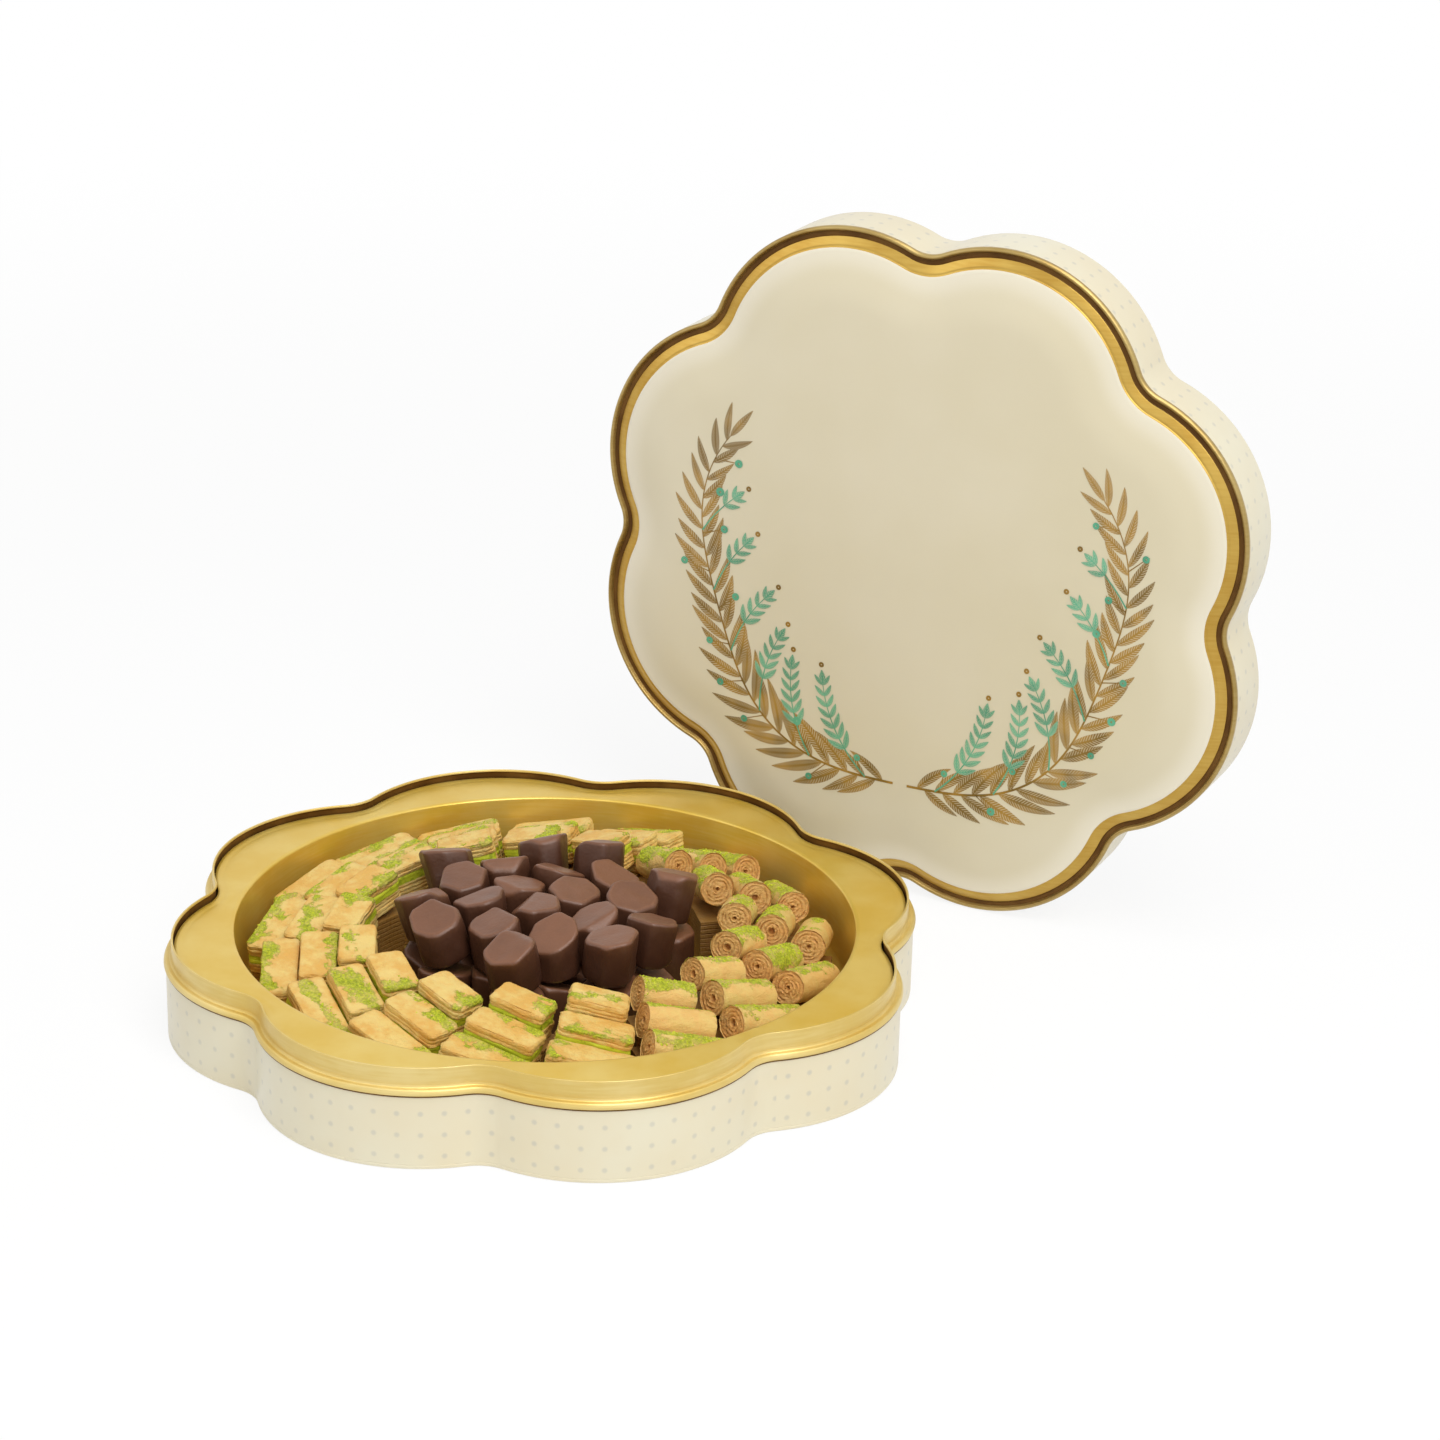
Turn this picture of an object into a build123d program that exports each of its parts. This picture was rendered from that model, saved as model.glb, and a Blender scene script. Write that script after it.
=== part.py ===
from build123d import *
from math import atan2, ceil, cos, degrees, floor, hypot, pi, radians, sin, sqrt, tan
import os

# A lobed tin of sweets standing open: the base holds a gold insert full of sweets, and the
# lid stands on edge behind it. Millimetres, +Z up, the lid faces -Y, and the origin is on the
# floor under the middle of the base.

# Outline of the tin: round lobes joined by hollow cusps
lobes = 8
reach = 150.0  # middle of the tin to the tip of a lobe
lobe_r = 64.5
cusp_r = 16.2

# Sheets and clearances
tin_t = 0.3
insert_t = 0.8
fit_gap = 0.3  # between pieces that only rest on or in each other

# Base
base_turn = -2.4  # the base stands turned a little from the lid
shoulder_z = 29.4  # top of the printed wall
rim_z = 40.3
foot_r = 1.2  # bevel of the wall's lower edge
seam_w = 1.8  # folded seam under the wall
seam_h = 3.2
neck_inset = 2.2  # the neck stands this far inside the wall
neck_depth = 8.0  # and runs this far down behind it
bead_out = 0.9  # the shoulder bead stands this far outside the wall
bead_h = 3.2
rim_h = 1.6  # the rim is curled inwards
rim_curl = 0.6

# Insert with a round well
ledge_drop = 3.4  # the ledge lies this far under the rim
ledge_w = 10.2  # the ledge's least width, between a cusp and the well
well_taper = 2.0
step_r = 4.0  # slope at the foot of the well

# Lid, measured from its open edge
lid_h = 27.0
hem_h = 2.2
lid_bead_w = 2.4
lid_bead_h = 2.2
channel_w = 1.5
channel_d = 1.8
slope_w = 4.8
slope_rise = 2.4
dome_w = 24.0
dome_rise = 3.6
knee_w = 7.2  # the dome is steeper over this width
knee_rise = 2.4

# How the lid stands: behind the base and off to its right
lid_gap = 16.2
lid_aside = 79.0

# Sweets: rows of leaning pieces round the well and a heap of chocolates in the middle
serving_turn = -44.0
piece_gap = 0.5
well_margin = 1.5
rows = 17
roll_rows = 6  # the other rows are slabs
row_pieces = 3
row_aside = 25.0  # each row points this far past the middle of the tin
slab_lean = 12.0  # degrees, the clockwise end is raised
slab_w = 14.6
slab_h = 14.0
slab_edge = 1.2
roll_lean = 16.0
roll_d = 14.4
roll_sides = 10
heap_lines = 6
line_slack = 0.55  # of a line's pitch, inside the edge of the heap
line_offset = 2 / 3  # of a line's pitch, so that the heap comes out round
chocolate_h = 21.5
chocolate_sides = 8
chocolate_edge = 3.2
chocolate_space = 2.6
chocolate_fan = 18.0  # degrees outwards, at the edge of the heap
chocolate_list = 4.0  # degrees that the whole heap leans besides
list_side = 230.0  # to this side of the serving

# Lower layer, under the sweets that show
under_h = 19.5  # beside the heap
under_step = 5.5  # each place further out is this much lower
heap_under_h = 24.5
heap_under_sides = 6

half_step = 180 / lobes
lobe_ring = reach - lobe_r
lobe_side = lobe_ring * sin(radians(half_step))
cusp_ring = lobe_ring * cos(radians(half_step)) + sqrt((lobe_r + cusp_r) ** 2 - lobe_side**2)
touch = degrees(
    atan2(cusp_ring * sin(radians(half_step)), cusp_ring * cos(radians(half_step)) - lobe_ring)
)


def outline(inset, turn):
    """Closed line of the tin's outline, drawn in by inset and turned about Z."""
    with BuildLine(mode=Mode.PRIVATE) as line:
        for lobe in range(lobes):
            angle = turn + 2 * half_step * lobe
            middle = Vector(lobe_ring, 0).rotate(Axis.Z, angle)
            hollow = Vector(cusp_ring, 0).rotate(Axis.Z, angle + half_step)
            CenterArc(middle, lobe_r - inset, angle - touch, 2 * touch)
            CenterArc(hollow, cusp_r + inset, angle + 180 + touch, 2 * (half_step - touch))
    return line.wires()[0]


def section(path):
    """Plane across the start of a path, with x drawn inwards and y up."""
    return Plane(path @ 0, x_dir=(path % 0).rotate(Axis.Z, 90), z_dir=path % 0)


base_path = outline(0, base_turn)
lid_path = outline(0, half_step)

# Printed wall of the base, folded under into a seam
with BuildPart() as base_wall:
    with BuildSketch(section(base_path)):
        with BuildLine():
            Polyline(
                (0, shoulder_z),
                (0, foot_r),
                (foot_r, 0),
                (seam_w, 0),
                (seam_w, seam_h),
                (tin_t, seam_h),
                (tin_t, shoulder_z),
                close=True,
            )
        make_face()
    sweep(path=base_path)

# Bottom end, held inside the seam
with BuildPart() as base_bottom:
    with BuildSketch(Plane.XY.offset(seam_h - tin_t)):
        make_face(outline(seam_w, base_turn).edges())
    extrude(amount=tin_t)

# Gold neck: a bead sits on the wall's top edge, and the rim is curled inwards
neck_in = neck_inset + tin_t
bead_top = shoulder_z + bead_h
rim_low = rim_z - rim_h
with BuildPart() as base_neck:
    with BuildSketch(section(base_path)):
        with BuildLine():
            Polyline(
                (neck_inset, shoulder_z - neck_depth),
                (neck_inset, shoulder_z),
                (-bead_out / 2, shoulder_z),
                (-bead_out, shoulder_z + bead_h / 3),
                (-bead_out / 2, bead_top - bead_h / 6),
                (neck_inset, bead_top),
                (neck_inset, rim_z),
                (neck_in, rim_z),
                (neck_in + rim_curl, rim_low + rim_h / 3),
                (neck_in, rim_low),
                (neck_in, shoulder_z - neck_depth),
                close=True,
            )
        make_face()
    sweep(path=base_path)

# Insert: a flat ledge inside the neck and a round well that stands on the bottom end
ledge_z = rim_z - ledge_drop
tray_edge = neck_in + rim_curl + fit_gap
well_r = cusp_ring - cusp_r - tray_edge - ledge_w
well_low_r = well_r - well_taper
with BuildPart() as tray:
    with BuildSketch(Plane.XY.offset(ledge_z - insert_t)):
        make_face(outline(tray_edge, base_turn).edges())
        Circle(well_r, mode=Mode.SUBTRACT)
    extrude(amount=insert_t)
    with BuildSketch(Plane.XZ):
        with BuildLine():
            Polyline(
                (0, seam_h),
                (well_low_r - step_r, seam_h),
                (well_low_r + insert_t, seam_h + step_r),
                (well_r + insert_t, ledge_z - insert_t),
                (well_r + insert_t, ledge_z),
                (well_r, ledge_z - insert_t / 2),
                (well_low_r, seam_h + insert_t + step_r),
                (well_low_r - step_r, seam_h + insert_t),
                (0, seam_h + insert_t),
                close=True,
            )
        make_face()
    revolve(axis=Axis.Z)

# Wall of the lid, hemmed at its open edge
lid_wall_h = lid_h - lid_bead_h
with BuildPart() as lid_wall:
    with BuildSketch(section(lid_path)):
        with BuildLine():
            Polyline(
                (0, 0),
                (0, lid_wall_h),
                (tin_t, lid_wall_h),
                (tin_t, hem_h),
                (3 * tin_t, hem_h),
                (3 * tin_t, 0),
                close=True,
            )
        make_face()
    sweep(path=lid_path)

# Top of the lid: gold bead, channel and slope round a soft dome
channel_z = lid_h - channel_d
channel_in = lid_bead_w + channel_w
slope_in = channel_in + slope_w
slope_z = channel_z + slope_rise
dome_in = slope_in + dome_w
dome_z = slope_z + dome_rise
with BuildPart() as lid_panel:
    with BuildSketch(section(lid_path)):
        with BuildLine():
            Polyline(
                (0, lid_wall_h),
                (0, lid_h - lid_bead_w / 3),
                (lid_bead_w / 2, lid_h),
                (lid_bead_w, channel_z),
                (channel_in, channel_z),
                (slope_in, slope_z),
                (slope_in + knee_w, slope_z + knee_rise),
                (dome_in, dome_z),
                (dome_in, dome_z - tin_t),
                (slope_in + knee_w, slope_z + knee_rise - tin_t),
                (slope_in, slope_z - tin_t),
                (channel_in, channel_z - tin_t),
                (lid_bead_w / 2, lid_wall_h),
                close=True,
            )
        make_face()
    sweep(path=lid_path)
    with BuildSketch(Plane.XY.offset(dome_z - tin_t)):
        make_face(outline(dome_in, half_step).edges())
    extrude(amount=tin_t)


def slab(length):
    """Slab of pastry lying along Y."""
    with BuildPart() as piece:
        Box(slab_w, length, slab_h, align=(Align.CENTER, Align.CENTER, Align.MIN))
        chamfer(piece.faces().sort_by(Axis.Z)[-1].edges(), slab_edge)
    return piece.part


def roll(length):
    """Rolled pastry lying along Y."""
    with BuildPart() as piece:
        with BuildSketch(Plane.XZ.offset(-length / 2)):
            with Locations((0, roll_d / 2)):
                RegularPolygon(roll_d / 2, roll_sides, major_radius=False, rotation=-90 - 180 / roll_sides)
        extrude(amount=length)
    return piece.part


# Rows round the well. A row's line misses the middle by row_aside, neighbours just clear each
# other at the inner end of every place, and the outer corner just clears the well.
row_pitch = max(slab_w, roll_d) + piece_gap
half_turn = tan(pi / rows)
spread = 1 + half_turn**2
aside = row_aside * spread - row_pitch * half_turn
row_out = (sqrt(spread * (well_low_r - well_margin) ** 2 - aside**2) - aside * half_turn) / spread
row_in = row_out - row_pieces * row_pitch
across_row = [row_in + (place + 0.5) * row_pitch for place in range(row_pieces)]
under_z = seam_h + insert_t + fit_gap


def room(place):
    """Length free for one place of a row, measured round the well."""
    return 2 * half_turn * (row_in + place * row_pitch + row_aside * half_turn)


# Lower layer of plain slabs, one under every place, inside the slope at the foot of the well
floor_r = well_low_r - step_r - fit_gap
with BuildPart(Plane.XY.rotated((0, 0, serving_turn))) as under_layer:
    for place in range(row_pieces):
        on_floor = 2 * (sqrt(floor_r**2 - (across_row[place] + slab_w / 2) ** 2) - row_aside)
        length = min(room(place) - piece_gap, on_floor)
        height = under_h - place * under_step
        with PolarLocations(0, rows):
            with Locations((across_row[place], row_aside, under_z)):
                Box(slab_w, length, height, align=(Align.CENTER, Align.CENTER, Align.MIN))

# Upper layer: the leaning rows
sweets = {}
row_rise = 0
for number in range(rows):
    is_roll = number < roll_rows
    kind, make, height = ("roll", roll, roll_d) if is_roll else ("slab", slab, slab_h)
    row_lean = roll_lean if is_roll else slab_lean
    lean = radians(row_lean)
    rise = height * sin(lean)
    lengths = [(room(place) - rise - piece_gap) / cos(lean) for place in range(row_pieces)]
    pieces = [make(length) for length in lengths]
    row_rise = max(row_rise, height * cos(lean) + lengths[0] * sin(lean))
    with BuildPart(Plane.XY.rotated((0, 0, serving_turn + 360 / rows * number))) as row:
        for place, piece in enumerate(pieces):
            under_top = under_z + under_h - place * under_step
            foot_z = under_top + fit_gap + lengths[place] / 2 * sin(lean)
            foot = (across_row[place], row_aside - rise / 2, foot_z)
            with Locations(Location(foot, (-row_lean, 0, 0))):
                add(piece)
    count = number + 1 if is_roll else number + 1 - roll_rows
    sweets[f"{kind}_row_{count}"] = row

# Heap of chocolates in staggered lines. They fan out more towards the heap's edge and all list
# to one side. The room inside the rows sets the heap's size, and that sets the chocolates' size.
heap_clear = hypot(row_in, max(0, row_aside - room(0) / 2)) - piece_gap
fan = radians(chocolate_fan)
heap_list = radians(chocolate_list)
stagger = cos(radians(30))
corner = 1 / cos(pi / chocolate_sides)  # to half a chocolate's width
pitch_share = 2 / (heap_lines - line_slack) / stagger
upright = corner * cos(fan + heap_list)
beside_h = under_h + row_rise - heap_under_h  # of the rows over the heap's foot
heap_r = heap_clear - beside_h * tan(fan + heap_list) + chocolate_space / 2 * upright
heap_r = heap_r / (1 + pitch_share / 2 * upright)
heap_pitch = pitch_share * heap_r
line_pitch = heap_pitch * stagger
chocolate_w = heap_pitch - chocolate_space

with BuildPart() as chocolate:
    with BuildSketch():
        RegularPolygon(chocolate_w / 2, chocolate_sides, major_radius=False)
    extrude(amount=chocolate_h)
    chamfer(chocolate.faces().sort_by(Axis.Z)[-1].edges(), chocolate_edge)

heap = []
for line in range(heap_lines):
    across = (line - heap_lines / 2 + line_offset) * line_pitch
    shift = 0.5 * ((line + 1) % 2)
    reach_along = sqrt(heap_r**2 - across**2)
    first = ceil(-reach_along / heap_pitch - shift)
    last = floor(reach_along / heap_pitch - shift)
    heap.append([((place + shift) * heap_pitch, across) for place in range(first, last + 1)])

for line, spots in enumerate(heap):
    with BuildPart(Plane.XY.rotated((0, 0, serving_turn))) as row:
        for along, across in spots:
            away = hypot(along, across) / heap_r
            outwards = Vector(along, across) * (away * fan / heap_r)
            sideways = Vector(heap_list, 0).rotate(Axis.Z, list_side)
            slant = outwards + sideways
            tilt = slant.length
            axis = slant.normalized() * sin(tilt) + Vector(0, 0, cos(tilt))
            foot_z = under_z + heap_under_h + fit_gap + chocolate_w / 2 * corner * sin(tilt)
            with Locations(Plane((along, across, foot_z), z_dir=axis)):
                add(chocolate.part)
    sweets[f"chocolate_row_{line + 1}"] = row

# Lower layer of the heap, one plain piece under every chocolate
with BuildPart(Plane.XY.rotated((0, 0, serving_turn))) as under_heap:
    with BuildSketch(Plane.XY.rotated((0, 0, serving_turn)).offset(under_z)):
        for spots in heap:
            with Locations(*spots):
                RegularPolygon(
                    (heap_pitch - piece_gap) / 2,
                    heap_under_sides,
                    major_radius=False,
                    rotation=180 / heap_under_sides,
                )
    extrude(amount=heap_under_h)

# The lid stands on two lobes, its hollow side to the back
lid_middle_z = lobe_ring * cos(radians(half_step)) + lobe_r
lid_place = Location((lid_aside, reach + bead_out + lid_gap + lid_h, lid_middle_z), (90, 0, 0))
lid_wall.part.locate(lid_place)
lid_panel.part.locate(lid_place)

tin = {
    "base_wall": base_wall,
    "base_bottom": base_bottom,
    "base_neck": base_neck,
    "tray": tray,
    "lid_wall": lid_wall,
    "lid_panel": lid_panel,
    "under_layer": under_layer,
    "under_heap": under_heap,
}

os.makedirs("parts", exist_ok=True)
for name, piece in {**tin, **sweets}.items():
    piece.part.label = name
    export_step(piece.part, f"parts/{name}.step")
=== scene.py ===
import random
from math import atan2, cos, exp, hypot, log, pi, radians, sin, sqrt, tan, tau

import bmesh
import bpy
import numpy as np
from mathutils import Matrix, Vector, noise


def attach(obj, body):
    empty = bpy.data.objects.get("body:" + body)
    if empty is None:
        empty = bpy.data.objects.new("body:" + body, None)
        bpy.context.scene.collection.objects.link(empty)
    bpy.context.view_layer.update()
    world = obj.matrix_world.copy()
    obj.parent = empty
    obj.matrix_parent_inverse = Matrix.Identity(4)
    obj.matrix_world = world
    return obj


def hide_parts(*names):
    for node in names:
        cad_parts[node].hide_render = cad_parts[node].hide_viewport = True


# An open tin of pastries and chocolates, its lid standing behind it. Metres, +Z up.

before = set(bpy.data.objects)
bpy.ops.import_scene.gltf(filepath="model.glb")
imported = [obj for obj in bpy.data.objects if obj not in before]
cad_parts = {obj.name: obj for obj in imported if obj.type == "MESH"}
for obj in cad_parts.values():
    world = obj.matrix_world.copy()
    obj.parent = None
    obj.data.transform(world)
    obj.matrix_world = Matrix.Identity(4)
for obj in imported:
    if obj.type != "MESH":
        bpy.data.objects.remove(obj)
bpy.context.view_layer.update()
mm = 0.001
print("frame loaded,", len(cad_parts), "nodes")


def polar(far, angle, x=0.0, y=0.0):
    return x + far * cos(angle), y + far * sin(angle)


def around(count):
    return [tau * step / count for step in range(count)]


def clamped(share):
    return min(1.0, max(0.0, share))


def link(name, data):
    thing = bpy.data.objects.new(name, data)
    bpy.context.scene.collection.objects.link(thing)
    return thing


# Camera, backdrop and light

view = {
    "place": (0.6574, -1.1685, 0.6615),
    "target": (0.0599, 0.0299, 0.1235),
    "lens": 93.2,
    "sensor": 36,
    "clip": (0.05, 20),
    "roll": 1.348,  # degrees
}


def makeCamera():
    data = bpy.data.cameras.new("photoCamera")
    data.lens = view["lens"]
    data.sensor_width = view["sensor"]
    data.clip_start, data.clip_end = view["clip"]
    camera = link("photoCamera", data)
    place = Vector(view["place"])
    aim = (Vector(view["target"]) - place).to_track_quat("-Z", "Y").to_matrix().to_4x4()
    roll = Matrix.Rotation(radians(view["roll"]), 4, "Z")
    camera.matrix_world = Matrix.Translation(place) @ aim @ roll
    bpy.context.scene.camera = camera
    bpy.context.scene.view_settings.view_transform = "Standard"


class Value:
    # a shader socket that can be used in sums
    def __init__(self, maker, node, out=0):
        self.maker = maker
        self.node = node
        self.socket = node.outputs[out] if len(node.outputs) else None

    def out(self, name):
        return Value(self.maker, self.node, name)

    def math(self, operation, *others):
        values = dict(enumerate((self, *others)))
        return self.maker.node("ShaderNodeMath", {"operation": operation}, values)

    def __add__(self, other):
        return self.math("ADD", other)

    __radd__ = __add__

    def __sub__(self, other):
        return self.math("SUBTRACT", other)

    def __rsub__(self, other):
        return self.maker.node("ShaderNodeMath", {"operation": "SUBTRACT"}, {0: other, 1: self})

    def __mul__(self, other):
        return self.math("MULTIPLY", other)

    __rmul__ = __mul__

    def __truediv__(self, other):
        return self.math("DIVIDE", other)

    def __pow__(self, other):
        return self.math("POWER", other)

    def between(self, low, high):
        # 0 under low, 1 over high, soft in between
        settings = {"interpolation_type": "SMOOTHSTEP"}
        return self.maker.node("ShaderNodeMapRange", settings, {0: self, 1: low, 2: high})


class Finish:
    # one material and its nodes
    def __init__(self, name, tree=None):
        if tree is None:
            self.material = bpy.data.materials.new(name)
            self.material.use_nodes = True
            tree = self.material.node_tree
        self.tree = tree
        self.tree.nodes.clear()

    def node(self, kind, settings=None, values=None):
        node = self.tree.nodes.new(kind)
        for key, setting in (settings or {}).items():
            setattr(node, key, setting)
        for key, value in (values or {}).items():
            if isinstance(value, Value):
                self.tree.links.new(value.socket, node.inputs[key])
            elif isinstance(value, tuple) and node.inputs[key].type == "RGBA":
                node.inputs[key].default_value = (*value, 1)
            else:
                node.inputs[key].default_value = value
        return Value(self, node)

    def place(self, kind="Object"):
        return self.node("ShaderNodeTexCoord").out(kind)

    def attribute(self, name):
        return self.node("ShaderNodeAttribute", {"attribute_name": name}).out("Fac")

    def axis(self, vector, name):
        return self.node("ShaderNodeSeparateXYZ", None, {0: vector}).out(name)

    def noise(self, scale, detail=3.0, roughness=0.55, squeeze=None):
        # noise over the object, squeezed on some axes if it is to run one way
        place = self.place()
        if squeeze:
            place = self.node("ShaderNodeVectorMath", {"operation": "MULTIPLY"}, {0: place, 1: squeeze})
        values = {"Vector": place, "Scale": scale, "Detail": detail, "Roughness": roughness}
        return self.node("ShaderNodeTexNoise", None, values)

    def mix(self, factor, first, second):
        values = {0: factor, 6: first, 7: second}
        return self.node("ShaderNodeMix", {"data_type": "RGBA"}, values).out(2)

    def bump(self, height, strength, distance):
        values = {"Height": height, "Strength": strength, "Distance": distance}
        return self.node("ShaderNodeBump", None, values)

    def seenDirectly(self):
        # 1 for camera, gloss and glass, 0 for light on the object
        ray = self.node("ShaderNodeLightPath")
        seen = ray.out("Is Camera Ray") + ray.out("Is Glossy Ray") + ray.out("Is Transmission Ray")
        return seen.math("MINIMUM", 1.0)

    def surface(self, values):
        shader = self.node("ShaderNodeBsdfPrincipled", None, values)
        self.node("ShaderNodeOutputMaterial", None, {"Surface": shader})
        return self.material


studio = {
    "background": (1.0, 1.0, 1.0),
    "sky": 0.46,  # level of the even light
    "floorSize": 6.0,
    "floorUp": -0.2 * mm,
    "floorTint": (0.93, 0.93, 0.92),
    "floorLift": 0.86,  # how much of the floor is plain background near the tin
    "floorFade": (0.5, 1.5),  # from here to here it turns into background
    # lamps, as place, size and power
    "key": ((1.3, -1.0, 1.7), 1.3, 24),
    "fill": ((-1.5, -1.2, 1.2), 1.6, 6),
    "top": ((0.5, -0.35, 1.9), 1.1, 12),
}


def makeStudio():
    white = studio["background"]
    world = bpy.data.worlds.new("studioWorld")
    bpy.context.scene.world = world
    world.use_nodes = True
    sky = Finish("sky", world.node_tree)
    dim = sky.node("ShaderNodeBackground", None, {"Color": white, "Strength": studio["sky"]})
    bright = sky.node("ShaderNodeBackground", None, {"Color": white, "Strength": 1.0})
    both = sky.node("ShaderNodeMixShader", None, {0: sky.seenDirectly(), 1: dim, 2: bright})
    sky.node("ShaderNodeOutputWorld", None, {"Surface": both})

    floor = Finish("floorPaper")
    paper = floor.node("ShaderNodeBsdfDiffuse", None, {"Color": studio["floorTint"]})
    glow = floor.node("ShaderNodeEmission", None, {"Color": white, "Strength": 1.0})
    ground = floor.place()
    away = (floor.axis(ground, "X") ** 2 + floor.axis(ground, "Y") ** 2).math("SQRT")
    lift = studio["floorLift"] + (1 - studio["floorLift"]) * away.between(*studio["floorFade"])
    both = floor.node("ShaderNodeMixShader", None, {0: floor.seenDirectly() * lift, 1: paper, 2: glow})
    floor.node("ShaderNodeOutputMaterial", None, {"Surface": both})
    half = studio["floorSize"] / 2
    mesh = bpy.data.meshes.new("floor")
    corners = [(-half, -half), (half, -half), (half, half), (-half, half)]
    mesh.from_pydata([(x, y, studio["floorUp"]) for x, y in corners], [], [(0, 1, 2, 3)])
    mesh.materials.append(floor.material)
    plane = link("floor", mesh)

    for name in ("key", "fill", "top"):
        lamp = bpy.data.lights.new(name + "Light", "AREA")
        light = link(name + "Light", lamp)
        light.location, lamp.size, lamp.energy = studio[name]
        aim = Vector(view["target"]) - light.location
        light.rotation_euler = aim.to_track_quat("-Z", "Y").to_euler()


makeCamera()
makeStudio()
print("camera and studio made")


# Finishes of the tin

tinLook = {
    "cream": (0.75, 0.70, 0.53),
    "creamWarm": (0.72, 0.60, 0.38),
    "dot": (0.42, 0.42, 0.40),
    "dotPitch": 8.7 * mm,
    "dotSize": 1.25 * mm,
    "dotRise": 5.3 * mm,  # lowest row over the floor
    "panel": (0.67, 0.60, 0.42),
    # pale cream for the panel's clouds, and the painted highlight on the dome's shoulder
    "panelPale": (0.80, 0.745, 0.61),
    "inside": (0.74, 0.72, 0.66),
    # lacquers, as dark and pale; the channel pair is painted shade
    "neck": ((0.66, 0.47, 0.12), (0.76, 0.60, 0.24)),
    "edge": ((0.34, 0.22, 0.06), (0.48, 0.35, 0.13)),
    "slope": ((0.46, 0.26, 0.035), (0.58, 0.38, 0.08)),
    "channel": ((0.10, 0.042, 0.006), (0.17, 0.08, 0.015)),
    "insert": ((0.70, 0.46, 0.055), (0.76, 0.56, 0.14)),
}


def printedFinish():
    # cream with a grid of faint dots
    look = Finish("creamPrint")
    uv = look.place("UV")
    pitch = tinLook["dotPitch"]
    along = (look.axis(uv, "X") / pitch).math("FRACT") - 0.5
    up = ((look.axis(uv, "Y") - tinLook["dotRise"]) / pitch + 0.5).math("FRACT") - 0.5
    away = (along * along + up * up).math("SQRT")
    edge = tinLook["dotSize"] / pitch
    dots = 1 - away.between(edge * 0.35, edge * 1.2)
    cloud = look.noise(18, 4)
    faded = dots * (0.22 + cloud * 0.3)
    cream = look.mix(cloud.between(0.3, 0.7) * 0.45, tinLook["cream"], tinLook["creamWarm"])
    grain = look.noise(900, 2)
    return look.surface({
        "Base Color": look.mix(faded, cream, tinLook["dot"]),
        "Roughness": 0.34 + cloud * 0.12,
        "Coat Weight": 0.25,
        "Coat Roughness": 0.25,
        "Normal": look.bump(grain, 0.04, 0.1 * mm),
    })


def goldFinish(name, tone, roughness, metallic):
    # gold lacquer with clouds and fine streaks
    look = Finish(name)
    cloud = look.noise(26, 4)
    streak = look.noise(1, 3, squeeze=(60, 60, 900))
    blend = (cloud * 0.7 + streak * 0.3).between(0.35, 0.68)
    return look.surface({
        "Base Color": look.mix(blend, *tinLook[tone]),
        "Metallic": metallic,
        "Roughness": roughness + streak * 0.08,
        "Coat Weight": 0.12,
        "Coat Roughness": 0.2,
        "Normal": look.bump(look.noise(240, 3), 0.05, 0.2 * mm),
    })


def channelFinish():
    # painted shade: dull dark brown standing in for the shadow in the lid's channel, under the neck's
    # bead and inside its rolled rim
    look = Finish("channelLacquer")
    cloud = look.noise(60, 4)
    return look.surface({
        "Base Color": look.mix(cloud.between(0.35, 0.7), *tinLook["channel"]),
        "Metallic": 0.15,
        "Roughness": 0.5 + cloud * 0.12,
        "Specular IOR Level": 0.2,
        "Normal": look.bump(look.noise(300, 3), 0.05, 0.2 * mm),
    })


def plainFinish(name, colour, metallic, roughness):
    # rolled sheet, with its fine grain all one way
    look = Finish(name)
    cloud = look.noise(12, 2)
    grain = look.noise(1, 4, 0.7, (30, 900, 900))
    darker = tuple(part * 0.93 for part in colour)
    return look.surface({
        "Base Color": look.mix(grain.between(0.35, 0.65) * 0.7 + cloud * 0.3, darker, colour),
        "Metallic": metallic,
        "Roughness": roughness + grain * 0.08,
        "Normal": look.bump(grain, 0.04, 0.1 * mm),
    })


printedTin = printedFinish()
neckGold = goldFinish("neckLacquer", "neck", 0.38, 0.5)
edgeGold = goldFinish("edgeLacquer", "edge", 0.3, 0.8)
slopeGold = goldFinish("slopeLacquer", "slope", 0.28, 0.75)
paintedChannelShade = channelFinish()
insertGold = goldFinish("insertGold", "insert", 0.32, 0.5)
insideTin = plainFinish("insideTin", tinLook["inside"], 0.85, 0.3)


# Shared mesh code

def addPiece(name, mesh, materials, body, replaced, slot, sharp):
    mesh.name = name
    for material in materials:
        mesh.materials.append(material)
    mesh.polygons.foreach_set("use_smooth", [True] * len(mesh.polygons))
    mesh.set_sharp_from_angle(angle=radians(sharp))
    piece = link(name, mesh)
    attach(piece, body)
    if replaced:
        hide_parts(*replaced)


outlineShape = {
    "lobes": 8,
    "reach": 150 * mm,
    "lobeR": 64.5 * mm,
    "cuspR": 16.2 * mm,
    "lobeSteps": 30,
    "cuspSteps": 10,
    "baseTurn": -2.4,  # degrees
}
lobeR, cuspR = outlineShape["lobeR"], outlineShape["cuspR"]
halfLobe = pi / outlineShape["lobes"]
lobeRing = outlineShape["reach"] - lobeR
cuspRing = lobeRing * cos(halfLobe) + sqrt((lobeR + cuspR) ** 2 - (lobeRing * sin(halfLobe)) ** 2)
cuspX, cuspY = polar(cuspRing, halfLobe)
touch = atan2(cuspY, cuspX - lobeRing)  # a lobe's arc ends this far from its middle


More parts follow.
